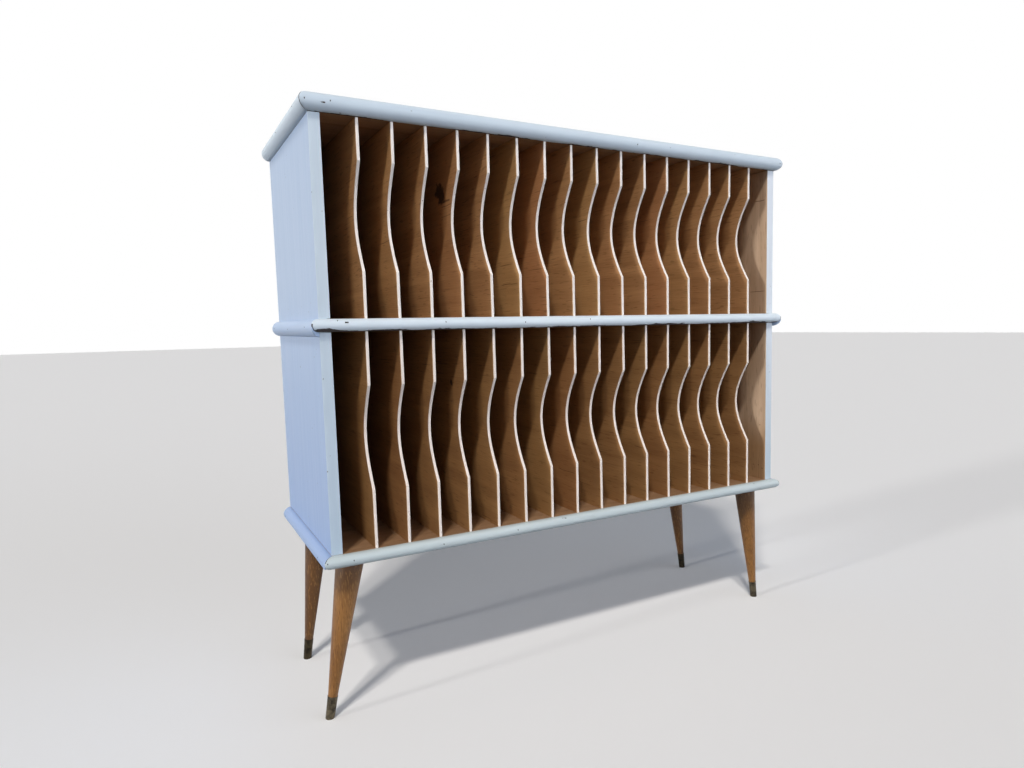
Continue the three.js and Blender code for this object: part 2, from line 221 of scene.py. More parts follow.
def blend(share, first, second, kind="MIX"):
    colours = {0: share, 6: first, 7: second}
    node = put(share.id_data, "ShaderNodeMix", colours, data_type="RGBA", blend_type=kind)
    return node.outputs[2]


def new_finish(name):
    made = bpy.data.materials.new(name)
    made.use_nodes = True
    made.node_tree.nodes.clear()
    return made, made.node_tree


def skin(tree, colour, rough, height, depth, more=None):
    """Ends a finish with its colour, roughness and relief, and what more its surface has."""
    bumps = put(tree, "ShaderNodeBump", {"Height": height, "Strength": 1.0, "Distance": depth})
    looks = {"Base Color": colour, "Roughness": rough, "Normal": bumps.outputs[0]}
    looks.update(more or {})
    surface = put(tree, "ShaderNodeBsdfPrincipled", looks).outputs[0]
    put(tree, "ShaderNodeOutputMaterial", {"Surface": surface})


def wood_pattern(tree, along, dark, light, fleck):
    """Colour and height of sawn or peeled wood: broad figure, fine fibre and short flecks."""
    figure = grain(tree, along, 26.0, 13.0, 3.0, 0.55, 0.9)
    fibre = grain(tree, along, 520.0, 45.0, 2.0, 0.6)
    dash = grain(tree, along, 300.0, 9.0, 1.0, 0.5)
    stain = grain(tree, along, 7.0, 2.0, 2.0, 0.5, 0.4)
    tone = layered(((figure, 0.55), (fibre, 0.25), (stain, 0.25)))
    colour = blend(tone, dark, light)
    marks = spread(dash, 0.62, 0.72, 0.0, fleck)
    colour = blend(marks, colour, (dark[0] * 0.4, dark[1] * 0.35, dark[2] * 0.3, 1))
    height = minus(fibre, times(marks, 0.5))
    return colour, height


BARE_WOOD_FLECK = 0.45
BARE_WOOD_RELIEF = 0.4 * MM


def bare_wood(name, along, dark, light):
    made, tree = new_finish(name)
    colour, height = wood_pattern(tree, along, dark, light, BARE_WOOD_FLECK)
    rough = widened(grain(tree, along, 60.0, 8.0), 0.62, 0.8)
    skin(tree, colour, rough, height, BARE_WOOD_RELIEF)
    return made


board_wood = bare_wood("bare_board_wood", "X", (0.21, 0.108, 0.048, 1), (0.37, 0.222, 0.118, 1))

# A paint's darker and lighter colour, and what both are multiplied by at the stand's foot as painted
# shade
FRONT_PAINT = ((0.475, 0.55, 0.61, 1), (0.555, 0.62, 0.67, 1), (0.80, 0.85, 0.90, 1))
# The sides' paint is bluer than the front's as painted light, for the cool light from the left.
SIDE_PAINT = ((0.331, 0.421, 0.560, 1), (0.355, 0.448, 0.588, 1), (0.74, 0.81, 0.96, 1))
PAINT_UNSHADED_ABOVE = 0.80
PAINT_SHADED_BELOW = 0.34
PAINT_RELIEF = 0.16 * MM
BARED = (0.10, 0.085, 0.075, 1)


def paint_pattern(tree, along, paint):
    """Brushed paint: streaks along the brush, soft uneven coats and a foot darkened as painted shade."""
    streak = grain(tree, along, 150.0, 40.0, 2.0, 0.5)
    broad = grain(tree, along, 40.0, 14.0, 2.0, 0.5)
    cloud = grain(tree, along, 6.0, 1.6, 2.0, 0.5)
    tone = layered(((streak, 0.45), (broad, 0.35), (cloud, 0.2)))
    darker, lighter, foot_shade = paint
    colour = blend(tone, darker, lighter)
    # Painted shade: the paint darkens towards the floor.
    foot_shade_share = spread(axes_on(tree)[2], PAINT_UNSHADED_ABOVE, PAINT_SHADED_BELOW)
    colour = blend(foot_shade_share, colour, foot_shade, "MULTIPLY")
    height = plus(streak, times(broad, 0.6))
    rough = widened(streak, 0.38, 0.52)
    return colour, height, rough


def brushed_paint(name, along, paint):
    made, tree = new_finish(name)
    colour, height, rough = paint_pattern(tree, along, paint)
    speck = grain(tree, along, 210.0, 1.5, 1.0)
    nick = spread(speck, 0.775, 0.80, 0.0, 0.8)
    colour = blend(nick, colour, BARED)
    skin(tree, colour, rough, height, PAINT_RELIEF, {"Specular IOR Level": 0.35})
    return made


top_paint = brushed_paint("brushed_top_paint", "X", FRONT_PAINT)


def show(mesh, name):
    piece = bpy.data.objects.new(name, mesh)
    bpy.context.scene.collection.objects.link(piece)
    return piece


def merged_copy(node):
    """A welded copy of a CAD solid, with its flat faces whole again."""
    shape = bmesh.new()
    shape.from_mesh(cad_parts[node].data)
    bmesh.ops.remove_doubles(shape, verts=shape.verts, dist=0.02 * MM)
    flat = math.radians(0.5)
    bmesh.ops.dissolve_limit(shape, angle_limit=flat, verts=shape.verts, edges=shape.edges)
    return shape


def ease(shape, width, segments=2, sharper=40.0):
    """Breaks the outward arrises of a shape."""
    least = math.radians(sharper)
    whole = [edge for edge in shape.edges if edge.is_manifold]
    bmesh.ops.bevel(
        shape, geom=[edge for edge in whole if edge.calc_face_angle_signed(0.0) > least],
        offset=width, segments=segments, profile=0.5, affect="EDGES", clamp_overlap=True,
    )


def finish_piece(shape, name, finishes, smooth_below=14.0):
    mesh = bpy.data.meshes.new(name)
    shape.to_mesh(mesh)
    shape.free()
    for material in finishes:
        mesh.materials.append(material)
    mesh.shade_smooth()
    mesh.set_sharp_from_angle(angle=math.radians(smooth_below))
    return show(mesh, name)


def make_board(node, painted_top):
    shape = merged_copy(node)
    ease(shape, BOARD_EASE)
    for face in shape.faces:
        face.material_index = 1 if painted_top and face.normal.z > 0.3 else 0
    piece = finish_piece(shape, node + "_eased", [board_wood, top_paint])
    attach(piece, "root")
    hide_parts(node)


make_board("bottom_board", False)
make_board("middle_board", False)
make_board("top_board", True)

# -------------------- side panels
# Each side is one wide board standing on the bottom board. It is brushed with paint outside
# and on its front edge, and is bare inside, where it is scored and darkened at the foot as painted
# shade.

SIDE_EASE = 0.8 * MM
MARK_WAVER = 4 * MM
MARK_STRENGTH = 0.75
SCORED_LINES = (
    (0.993, -0.190, -0.155, 1.7), (0.780, -0.192, -0.140, 1.5), (0.354, -0.176, -0.172, 2.0),
    (0.354, -0.159, -0.155, 2.0), (0.347, -0.189, -0.184, 2.0), (0.454, -0.180, -0.176, 1.6),
)


def distance(first, second):
    return reckon("ABSOLUTE", minus(first, second))


def scored(tree, colour, marks, ink):
    """Draws short thin lines on a wood. A mark is a height, its two ends front to back, its
    thickness in millimetres and, on a divider, that divider's number from the left."""
    axes = axes_on(tree)
    waver = times(grain(tree, "Y", 60.0, 2.0, 1.0), MARK_WAVER)
    for up, front, back, thick, *divider in marks:
        off = distance(axes[2], plus(waver, up - MARK_WAVER / 2))
        inked = spread(off, thick * 0.7 * MM, thick * 0.3 * MM)
        along = distance(axes[1], (front + back) / 2)
        half = (back - front) / 2
        inked = times(inked, spread(along, half, half * 0.7))
        if divider:
            inked = times(inked, on_divider(axes, divider[0]))
        colour = blend(times(inked, MARK_STRENGTH), colour, ink)
    return colour


SIDE_WOOD_DARK = (0.385, 0.26, 0.16, 1)
SIDE_WOOD_LIGHT = (0.60, 0.435, 0.305, 1)
SIDE_WOOD_FOOT_SHADE = (0.76, 0.65, 0.49, 1)
SIDE_SHADED_BELOW = 0.40
SIDE_UNSHADED_ABOVE = 0.47


def side_inside(name):
    made, tree = new_finish(name)
    colour, height = wood_pattern(tree, "Z", SIDE_WOOD_DARK, SIDE_WOOD_LIGHT, BARE_WOOD_FLECK)
    colour = scored(tree, colour, SCORED_LINES, (0.09, 0.045, 0.025, 1))
    # Painted shade: the bare wood darkens towards the foot.
    wood_foot_shade = spread(axes_on(tree)[2], SIDE_UNSHADED_ABOVE, SIDE_SHADED_BELOW)
    colour = blend(wood_foot_shade, colour, SIDE_WOOD_FOOT_SHADE, "MULTIPLY")
    skin(tree, colour, 0.7, height, BARE_WOOD_RELIEF)
    return made


side_wood = side_inside("bare_side_wood")
side_paint = brushed_paint("brushed_side_paint", "Z", SIDE_PAINT)
edge_paint = brushed_paint("brushed_edge_paint", "Z", FRONT_PAINT)

# The right side's front edge is painted lighter than the left one's as painted light, and darker at its
# foot as painted shade
LIT_EDGE_GAIN = (1.28, 1.19, 1.15, 1)
LIT_EDGE_FOOT_SHADE = (0.68, 0.75, 0.78, 1)
lit_coats = [tuple(part * share for part, share in zip(coat, LIT_EDGE_GAIN)) for coat in FRONT_PAINT[:2]]
lit_edge_paint = brushed_paint("brushed_lit_edge_paint", "Z", (*lit_coats, LIT_EDGE_FOOT_SHADE))


def make_side(node, hand):
    shape = merged_copy(node)
    ease(shape, SIDE_EASE)
    for face in shape.faces:
        if face.normal.y < -0.3:
            face.material_index = 2
        elif face.normal.x * hand > 0.3:
            face.material_index = 1
    edge = edge_paint if hand < 0 else lit_edge_paint
    piece = finish_piece(shape, node + "_eased", [side_wood, side_paint, edge])
    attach(piece, "root")
    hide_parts(node)


make_side("left_side_panel", -1)
make_side("right_side_panel", 1)

# -------------------- dividers
# Thirty-two thin veneered sheets stand in grooves, sixteen to a tier. Each has one long
# finger scoop sawn in its front edge, which is sanded round and brushed with cream paint
# that laps a little on to the faces. No two sheets are the same brown.

DIVIDERS_PER_TIER = 16
DIVIDER_EASE = 0.9 * MM
SCOOP_LENGTH = 185 * MM
SCOOP_DEPTH = 39.5 * MM
SCOOP_LEAD = 75 * MM
SCOOP_RISE = 5 * MM
ROWS_BELOW = 8
ROWS_IN_SCOOP = 32
ROWS_ABOVE = 8
BOW = 0.7 * MM
UNEVENNESS = 0.5 * MM
WANDER_SCALE = 22.0
WANDER_MIDDLE = 0.42


def geometry_tree(name, **labels_by_kind):
    """An empty tree with the named inputs of each kind, and the outputs of its group input."""
    tree = bpy.data.node_groups.new(name, "GeometryNodeTree")
    tree.interface.new_socket("Geometry", in_out="INPUT", socket_type="NodeSocketGeometry")
    for kind, labels in labels_by_kind.items():
        for label in labels:
            tree.interface.new_socket(label, in_out="INPUT", socket_type="NodeSocket" + kind)
    tree.interface.new_socket("Geometry", in_out="OUTPUT", socket_type="NodeSocketGeometry")
    return tree, put(tree, "NodeGroupInput").outputs


def close_tree(tree, geometry, finish):
    """Realises the instances, gives the finish and ends the tree."""
    real = put(tree, "GeometryNodeRealizeInstances", {0: geometry}).outputs[0]
    done = put(tree, "GeometryNodeSetMaterial", {0: real, "Material": finish}).outputs[0]
    put(tree, "NodeGroupOutput", {0: done})


def grow(tree, name, values, seed_mesh=None, smooth_below=14.0):
    """Runs a tree with the given sizes, and keeps what it makes as a plain mesh."""
    holder = show(seed_mesh or bpy.data.meshes.new(name + "_start"), name + "_start")
    modifier = holder.modifiers.new("shape", "NODES")
    modifier.node_group = tree
    for item in tree.interface.items_tree:
        if item.in_out == "INPUT" and item.name in values:
            modifier[item.identifier] = values[item.name]
    ready = holder.evaluated_get(bpy.context.evaluated_depsgraph_get())
    mesh = bpy.data.meshes.new_from_object(ready)
    mesh.name = name
    holder.modifiers.clear()
    bpy.data.objects.remove(holder)
    shape = bmesh.new()
    shape.from_mesh(mesh)
    bmesh.ops.recalc_face_normals(shape, faces=shape.faces)
    shape.to_mesh(mesh)
    shape.free()
    mesh.shade_smooth()
    mesh.set_sharp_from_angle(angle=math.radians(smooth_below))
    return show(mesh, name)


divider_tree, given = geometry_tree("divider_sheet", Material=["Finish"], Float=[
    "Foot", "Head", "Front", "Back", "Place", "Thickness", "Ease", "Bow", "Unevenness", "Tone",
    "Scoop Middle", "Scoop Length", "Scoop Depth", "Scoop Lead",
])


def build_divider_tree(tree, given):
    depth = minus(given["Back"], given["Front"])
    rows = ROWS_BELOW + ROWS_IN_SCOOP + ROWS_ABOVE
    line = put(tree, "GeometryNodeCurvePrimitiveLine").outputs[0]
    line = put(tree, "GeometryNodeResampleCurve", {"Curve": line, "Count": rows + 1}).outputs[0]
    path = put(tree, "GeometryNodeCaptureAttribute", {0: line}, domain="POINT")
    path.capture_items.new("FLOAT", "Row")
    tree.links.new(put(tree, "GeometryNodeInputIndex").outputs[0], path.inputs["Row"])
    size = {"Width": given["Thickness"], "Height": depth}
    sheet = put(tree, "GeometryNodeCurvePrimitiveQuadrilateral", size).outputs[0]
    rounding = {"Curve": sheet, "Count": 3, "Radius": given["Ease"]}
    sheet = put(tree, "GeometryNodeFilletCurve", rounding, mode="POLY").outputs[0]
    section = put(tree, "GeometryNodeCaptureAttribute", {0: sheet}, domain="POINT")
    section.capture_items.new("VECTOR", "Section")
    tree.links.new(put(tree, "GeometryNodeInputPosition").outputs[0], section.inputs["Section"])
    swept = {"Curve": path.outputs[0], "Profile Curve": section.outputs[0], "Fill Caps": True}
    body = put(tree, "GeometryNodeCurveToMesh", swept).outputs[0]
    row = path.outputs["Row"]
    parts = put(tree, "ShaderNodeSeparateXYZ", {0: section.outputs["Section"]}).outputs
    across = parts[0]
    inward = plus(parts[1], times(depth, 0.5))

    below = over(row, float(ROWS_BELOW), True)
    share = over(minus(row, float(ROWS_BELOW)), float(ROWS_IN_SCOOP), True)
    above = over(minus(row, float(ROWS_BELOW + ROWS_IN_SCOOP)), float(ROWS_ABOVE), True)
    rest = minus(1.0, share)
    start = minus(given["Scoop Middle"], times(given["Scoop Length"], 0.5))
    end = plus(given["Scoop Middle"], times(given["Scoop Length"], 0.5))
    lead_in = times(times(times(rest, rest), share), times(given["Scoop Lead"], 3.0))
    lead_out = minus(given["Scoop Length"], given["Scoop Lead"])
    lead_out = times(times(times(rest, share), times(share, 3.0)), lead_out)
    rise_out = times(times(share, share), times(share, given["Scoop Length"]))
    climb = plus(plus(lead_in, lead_out), rise_out)
    height = plus(given["Foot"], times(below, minus(start, given["Foot"])))
    height = plus(plus(height, climb), times(above, minus(given["Head"], end)))
    scoop = times(times(times(share, rest), 4.0), given["Scoop Depth"])

    up = put(tree, "ShaderNodeCombineXYZ", {0: given["Place"], 1: 0.0, 2: height}).outputs[0]
    wander = speckle(up, WANDER_SCALE, 1.0)
    front = plus(given["Front"], scoop)
    front = plus(front, times(minus(wander, WANDER_MIDDLE), given["Unevenness"]))
    reach = over(inward, depth)
    y = plus(front, times(reach, minus(given["Back"], front)))
    rise = over(minus(height, given["Foot"]), minus(given["Head"], given["Foot"]))
    bow = times(times(times(rise, minus(1.0, rise)), 4.0), given["Bow"])
    x = plus(plus(given["Place"], across), bow)
    spot = put(tree, "ShaderNodeCombineXYZ", {0: x, 1: y, 2: height}).outputs[0]
    body = put(tree, "GeometryNodeSetPosition", {"Geometry": body, "Position": spot}).outputs[0]
    for label, value in (("from_edge", times(reach, depth)), ("tone", given["Tone"])):
        kept = {"Geometry": body, "Name": label, "Value": value}
        body = put(tree, "GeometryNodeStoreNamedAttribute", kept, data_type="FLOAT").outputs[0]
    close_tree(tree, body, given["Finish"])


build_divider_tree(divider_tree, given)

WIDTH_INSIDE = 1.012
DIVIDER_PITCH = WIDTH_INSIDE / (DIVIDERS_PER_TIER + 1)


def on_divider(axes, number):
    """1 on the divider with a number from the left, and 0 on the others."""
    place = number * DIVIDER_PITCH - WIDTH_INSIDE / 2
    return reckon("LESS_THAN", distance(axes[0], place), NEAR_A_DIVIDER)


# Each tier's browns, cream, knot and cracks. A knot is its divider's number, how far back and up
# it is, and its half width, and a crack is a mark as on the sides
VENEERS = {
    "upper": {
        "dark": (0.29, 0.145, 0.058, 1),
        "light": (0.57, 0.32, 0.145, 1),
        "red": (0.46, 0.195, 0.085, 1),
        "yellow": (0.53, 0.33, 0.125, 1),
        "cream": (0.80, 0.735, 0.665, 1),
        "knot": (4, -0.104, 0.962, 0.023),
        "cracks": (
            (0.863, -0.165, -0.105, 1.1, 2), (0.936, -0.165, -0.110, 1.2, 4),
            (0.918, -0.160, -0.105, 1.0, 4), (0.944, -0.158, -0.105, 3.4, 4),
            (0.828, -0.170, -0.110, 1.1, 6), (0.790, -0.190, -0.110, 1.2, 6),
            (0.925, -0.160, -0.120, 1.0, 9), (0.905, -0.150, -0.105, 1.0, 1),
        ),
    },
    # The lower tier's browns and cream are darker than the upper tier's as painted shade.
    "lower": {
        "dark": (0.225, 0.108, 0.042, 1),
        "light": (0.43, 0.235, 0.095, 1),
        "red": (0.36, 0.145, 0.055, 1),
        "yellow": (0.39, 0.235, 0.085, 1),
        "cream": (0.765, 0.675, 0.60, 1),
        "knot": (4, -0.130, 0.600, 0.007),
        "cracks": (
            (0.640, -0.185, -0.130, 1.0, 3), (0.402, -0.190, -0.120, 1.1, 8),
            (0.610, -0.150, -0.110, 1.1, 7), (0.436, -0.190, -0.150, 1.0, 11),
        ),
    },
}
NEAR_A_DIVIDER = 6 * MM
KNOT_LEAN = 0.45
KNOT_SQUASH = 1.2
KNOT_RAGGEDNESS = 0.45


def knotted(tree, colour, knot, ink):
    axes = axes_on(tree)
    number, y, z, half = knot
    back = over(minus(axes[1], y), half)
    up = over(minus(axes[2], z), half)
    up = minus(up, times(back, KNOT_LEAN))
    up = times(up, KNOT_SQUASH)
    off = plus(times(back, back), times(up, up))
    ragged = grain(tree, "Y", 70.0, 1.5, 3.0, 0.6)
    ragged = widened(ragged, -KNOT_RAGGEDNESS, KNOT_RAGGEDNESS)
    off = plus(reckon("SQRT", off), ragged)
    inked = spread(off, 1.15, 0.75, 0.0, 0.92)
    return blend(times(inked, on_divider(axes, number)), colour, ink)


VENEER_FLECK = 0.42
VENEER_RELIEF = 0.3 * MM
LEAST_LAP = 0.9 * MM
MOST_LAP = 2.0 * MM
UNSHADED_IN_FRONT = 0.06
SHADED_BEHIND = 0.24
DEPTH_SHADE = (0.45, 0.40, 0.36, 1)


def carried(tree, label):
    """A number that the mesh of a piece carries at its points."""
    return put(tree, "ShaderNodeAttribute", attribute_name=label).outputs["Fac"]


def veneer_finish(name, sorts):
    """Brown veneer with a cream painted edge, told apart by how far in from the edge it is."""
    made, tree = new_finish(name)
    wood, height = wood_pattern(tree, "Y", sorts["dark"], sorts["light"], VENEER_FLECK)
    tone = carried(tree, "tone")
    wood = blend(spread(tone, 0.5, 1.0, 0.0, 0.55), wood, sorts["red"])
    wood = blend(spread(tone, 0.5, 0.0, 0.0, 0.5), wood, sorts["yellow"])
    check = grain(tree, "Y", 420.0, 60.0, 1.0)
    patch = grain(tree, "Y", 14.0, 2.0, 1.0)
    patch = spread(patch, 0.56, 0.66, 0.0, 0.55)
    crack = times(spread(check, 0.64, 0.72), patch)
    wood = blend(crack, wood, (0.08, 0.037, 0.017, 1))
    wood = scored(tree, wood, sorts["cracks"], (0.05, 0.02, 0.010, 1))
    wood = knotted(tree, wood, sorts["knot"], (0.035, 0.018, 0.012, 1))
    inward = carried(tree, "from_edge")
    # Painted shade: the veneer darkens further in from the front edge.
    depth_shade_share = spread(inward, UNSHADED_IN_FRONT, SHADED_BEHIND, 0.0, 0.5)
    wood = blend(depth_shade_share, wood, DEPTH_SHADE, "MULTIPLY")
    lap = grain(tree, "Z", 160.0, 2.0, 2.0)
    painted = reckon("LESS_THAN", inward, widened(lap, LEAST_LAP, MOST_LAP))
    streak = grain(tree, "Z", 300.0, 12.0, 2.0)
    cream = blend(widened(streak, 0.0, 0.35), sorts["cream"], (0.70, 0.61, 0.53, 1))
    nick = spread(grain(tree, "Z", 240.0, 1.5, 1.0), 0.76, 0.79, 0.0, 0.8)
    cream = blend(nick, cream, (0.12, 0.07, 0.04, 1))
    colour = blend(painted, wood, cream)
    rough = spread(painted, 0.0, 1.0, 0.62, 0.45)
    skin(tree, colour, rough, height, VENEER_RELIEF, {"Specular IOR Level": 0.3})
    return made


veneer = {tier: veneer_finish(tier + "_veneer_and_cream_edge", sorts) for tier, sorts in VENEERS.items()}

# Each sheet's own brown, from left to right: yellow at 0, red at 1
TONES = {
    "upper": (0.45, 0.35, 0.5, 0.7, 0.5, 0.15, 0.95, 0.4, 0.2, 0.65, 0.5, 0.9, 0.3, 0.6, 0.5, 0.55),
    "lower": (0.3, 0.65, 0.45, 0.5, 0.4, 0.6, 0.25, 0.8, 0.45, 0.5, 0.35, 0.65, 0.3, 0.55, 0.4, 0.5),
}


def make_dividers(tier, floor_height, roof_height):
    for number in range(1, DIVIDERS_PER_TIER + 1):
        node = f"{tier}_divider_{number:02d}"
        low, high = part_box(node)
        sway = math.sin(number * 2.3 + floor_height * 9.0)
        piece = grow(divider_tree, node + "_sheet", {
            "Foot": low[2], "Head": high[2], "Front": low[1], "Back": high[1],
            "Place": (low[0] + high[0]) / 2, "Thickness": high[0] - low[0],
            "Ease": DIVIDER_EASE, "Bow": BOW * sway, "Unevenness": UNEVENNESS,
            "Scoop Middle": (floor_height + roof_height) / 2 + SCOOP_RISE,
            "Scoop Length": SCOOP_LENGTH, "Scoop Depth": SCOOP_DEPTH, "Scoop Lead": SCOOP_LEAD,
            "Tone": TONES[tier][number - 1], "Finish": veneer[tier],
        })
        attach(piece, "root")
        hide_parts(node)


floor_of_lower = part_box("bottom_board")[1][2]
middle_low, middle_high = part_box("middle_board")
roof_of_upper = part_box("top_board")[0][2]
make_dividers("lower", floor_of_lower, middle_low[2])
make_dividers("upper", middle_high[2], roof_of_upper)

# -------------------- back
# A thin veneered sheet is let into a rebate round the back and held with small flat-headed
# nails along its edges and into the middle board.

NAIL_SPACING = 92 * MM
NAIL_INSET = 4.2 * MM
NAIL_RADIUS = 2.1 * MM
NAIL_STAND = 0.5 * MM
NAIL_REACH = 1.2 * MM
NAIL_SINK = 0.55 * MM
NAIL_TURNS = 40.0
SLOT_CUTS_ABOVE = 0.4
BACK_EASE = 0.4 * MM

# Painted shade: the sheet's brown is made very dark, for the shade deep in the slots.
back_wood = bare_wood("back_sheet_wood", "X", (0.045, 0.028, 0.018, 1), (0.085, 0.052, 0.032, 1))

METAL_RELIEF = 0.12 * MM
# Painted shade: a finish can darken the pieces that stand at the back.
BACK_SHADE_FROM = -0.05
BACK_SHADE_BY = 0.05


def worn_metal(name, base, tarnish, roughness, spots, back_shade=(1, 1, 1, 1)):
    """Metal with a blotchy tarnish and fine scratches. Its colours are multiplied by the last
    one, as painted shade, on the pieces that stand at the back."""
    made, tree = new_finish(name)
    cloud = grain(tree, "Z", spots, 1.0, 4.0, 0.6, 0.5)
    scratch = grain(tree, "Z", 1400.0, 14.0, 1.0)
    colour = blend(spread(cloud, 0.38, 0.62), base, tarnish)
    back_shade_share = spread(axes_on(tree)[1], BACK_SHADE_FROM, BACK_SHADE_BY)
    colour = blend(back_shade_share, colour, back_shade, "MULTIPLY")
    rough = widened(cloud, roughness - 0.1, roughness + 0.18)
    height = plus(cloud, times(scratch, 0.3))
    skin(tree, colour, rough, height, METAL_RELIEF, {"Metallic": 0.9})
    return made


steel = worn_metal("nail_and_screw_steel", (0.42, 0.42, 0.43, 1), (0.17, 0.14, 0.12, 1), 0.42, 240.0)

shape = merged_copy("back_panel")
ease(shape, BACK_EASE)
back_sheet = finish_piece(shape, "back_sheet", [back_wood])
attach(back_sheet, "root")
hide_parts("back_panel")

fixing_tree, given = geometry_tree("fixings_on_points", Object=["Head"], Material=["Finish"])


def build_fixing_tree(tree, given):
    """Sets one head on each point, standing along the point's own direction."""
    facing = put(tree, "GeometryNodeInputNamedAttribute", {"Name": "facing"}, data_type="FLOAT_VECTOR")
    spin = put(tree, "GeometryNodeInputNamedAttribute", {"Name": "spin"}, data_type="FLOAT")
    faced = put(tree, "FunctionNodeAlignRotationToVector", {"Vector": facing.outputs[0]}, axis="Z")
    own = put(tree, "FunctionNodeAxisAngleToRotation", {"Axis": (0, 0, 1), "Angle": spin.outputs[0]})
    turns = {"Rotation": faced.outputs[0], "Rotate By": own.outputs[0]}
    both = put(tree, "FunctionNodeRotateRotation", turns, rotation_space="LOCAL").outputs[0]
    head = put(tree, "GeometryNodeObjectInfo", {"Object": given["Head"]}).outputs["Geometry"]
    heads = {"Points": given["Geometry"], "Instance": head, "Rotation": both}
    heads = put(tree, "GeometryNodeInstanceOnPoints", heads)
    close_tree(tree, heads.outputs[0], given["Finish"])


build_fixing_tree(fixing_tree, given)


def turned(profile, sides):
    """A closed shape: a profile of radius and height, from axis to axis, turned about it."""
    shape = bmesh.new()
    rings = []
    for radius, height in profile:
        turns = [2 * math.pi * side / sides for side in range(sides if radius else 1)]
        ring = [(radius * math.cos(turn), radius * math.sin(turn), height) for turn in turns]
        rings.append([shape.verts.new(corner) for corner in ring])
    for low, high in zip(rings, rings[1:]):
        for side in range(sides):
            after = (side + 1) % sides
            corners = [low[side % len(low)], low[after % len(low)]]
            corners += [high[after % len(high)], high[side % len(high)]]
            shape.faces.new(list(dict.fromkeys(corners)))
    return shape


def turned_head(name, profile, sides, slot_width=0.0, slot_depth=0.0):
    """A nail, pin or screw head, with a slot across it if it has a slot's width."""
    shape = turned(profile, sides)
    bmesh.ops.recalc_face_normals(shape, faces=shape.faces)
    for vert in shape.verts:
        if vert.co.z > SLOT_CUTS_ABOVE * profile[-1][1] and abs(vert.co.y) < slot_width:
            vert.co.z -= slot_depth
    mesh = bpy.data.meshes.new(name)
    shape.to_mesh(mesh)
    shape.free()
    return show(mesh, name)


def set_heads(name, places, head, finish):
    """Places is a list of (point, direction the head faces, turn about that direction)."""
    points = bpy.data.meshes.new(name + "_points")
    points.from_pydata([place for place, _, _ in places], [], [])
    facing = points.attributes.new("facing", "FLOAT_VECTOR", "POINT")
    facing.data.foreach_set("vector", [part for _, way, _ in places for part in way])
    spin = points.attributes.new("spin", "FLOAT", "POINT")
    spin.data.foreach_set("value", [turn for _, _, turn in places])
    piece = grow(fixing_tree, name, {"Head": head, "Finish": finish}, points, 35.0)
    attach(piece, "root")
    return piece


def evenly(low, high, spacing, inset):
    count = max(1, round((high - low - 2 * inset) / spacing))
    step = (high - low - 2 * inset) / count
    return [low + inset + step * number for number in range(count + 1)]


nail_head = turned_head("nail_head", [
    (0, -NAIL_REACH),
    (NAIL_RADIUS * 0.9, -NAIL_REACH),
    (NAIL_RADIUS, 0),
    (NAIL_RADIUS * 0.92, NAIL_STAND * 0.75),
    (NAIL_RADIUS * 0.5, NAIL_STAND),
    (0, NAIL_STAND),
], 12)
back_low, back_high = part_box("back_panel")
nail_line = back_high[1] - NAIL_SINK
middle_line = (middle_low[2] + middle_high[2]) / 2
nail_places = []
for x in evenly(back_low[0], back_high[0], NAIL_SPACING, NAIL_INSET):
    for z in (back_low[2] + NAIL_INSET, middle_line, back_high[2] - NAIL_INSET):
        nail_places.append(((x, nail_line, z), (0, 1, 0), x * NAIL_TURNS))
for z in evenly(back_low[2], back_high[2], NAIL_SPACING, NAIL_INSET)[1:-1]:
    for x in (back_low[0] + NAIL_INSET, back_high[0] - NAIL_INSET):
        nail_places.append(((x, nail_line, z), (0, 1, 0), z * NAIL_TURNS))
set_heads("back_nails", nail_places, nail_head, steel)
bpy.data.objects.remove(nail_head)

# -------------------- lipping
# Half-round mouldings are glued and pinned round the boards' edges and mitred at the front
# corners, where the mitres have opened below. The same paint has chipped to dark wood along
# the lower edges in front, and over some of the pins, and the undersides in front are also
# darkened there as painted shade.

PROJECTION = 15 * MM
MITRE_SETBACK = 0.3 * MM / math.sqrt(2)
NOSE_FACETS = 24
NOSE_ARRIS = 0.35 * MM
RINGS_NEAR_AN_END = (0, 0.4, 1, 2, 4, 6, 7, 8, 9, 10, 12, 14, 16, 18, 20, 22, 26, 30)
RING_SPACING = 24 * MM
CORNER_WEAR = 0.8 * MM
CORNER_WEAR_REACH = 2.2 * MM
HAND_WORK = 0.12 * MM

# Between which shares of its height a mitre has opened, and by how many millimetres
OPEN_MITRES = {"top": (0.08, 0.80, 2.0), "middle": (0.10, 0.60, 4.6), "bottom": (0.58, 0.95, 2.6)}
CLOSED = (1, 1, 1)

CORNER_TRIM = 14 * MM
TRIM_RADIUS = 8 * MM
CORNER_LIFT = 9 * MM


def nose_profile(height):
    """Outward and upward places round a moulding, from its lower back edge to its upper one."""
    radius = min(height / 2, PROJECTION)
    centre = PROJECTION - radius
    flat = [centre * 0.6] if centre > NOSE_ARRIS else []
    points = [(0, -height / 2 + NOSE_ARRIS), (NOSE_ARRIS, -height / 2)]
    points += [(reach, -height / 2) for reach in flat]
    for facet in range(NOSE_FACETS + 1):
        angle = math.pi * (facet / NOSE_FACETS - 0.5)
        point = (centre + radius * math.cos(angle), height / 2 * math.sin(angle))
        if point[0] > NOSE_ARRIS:
            points.append(point)
    points += [(reach, height / 2) for reach in flat]
    points += [(NOSE_ARRIS, height / 2), (0, height / 2 - NOSE_ARRIS)]
    return points


LIPPING_RELIEF = 0.18 * MM


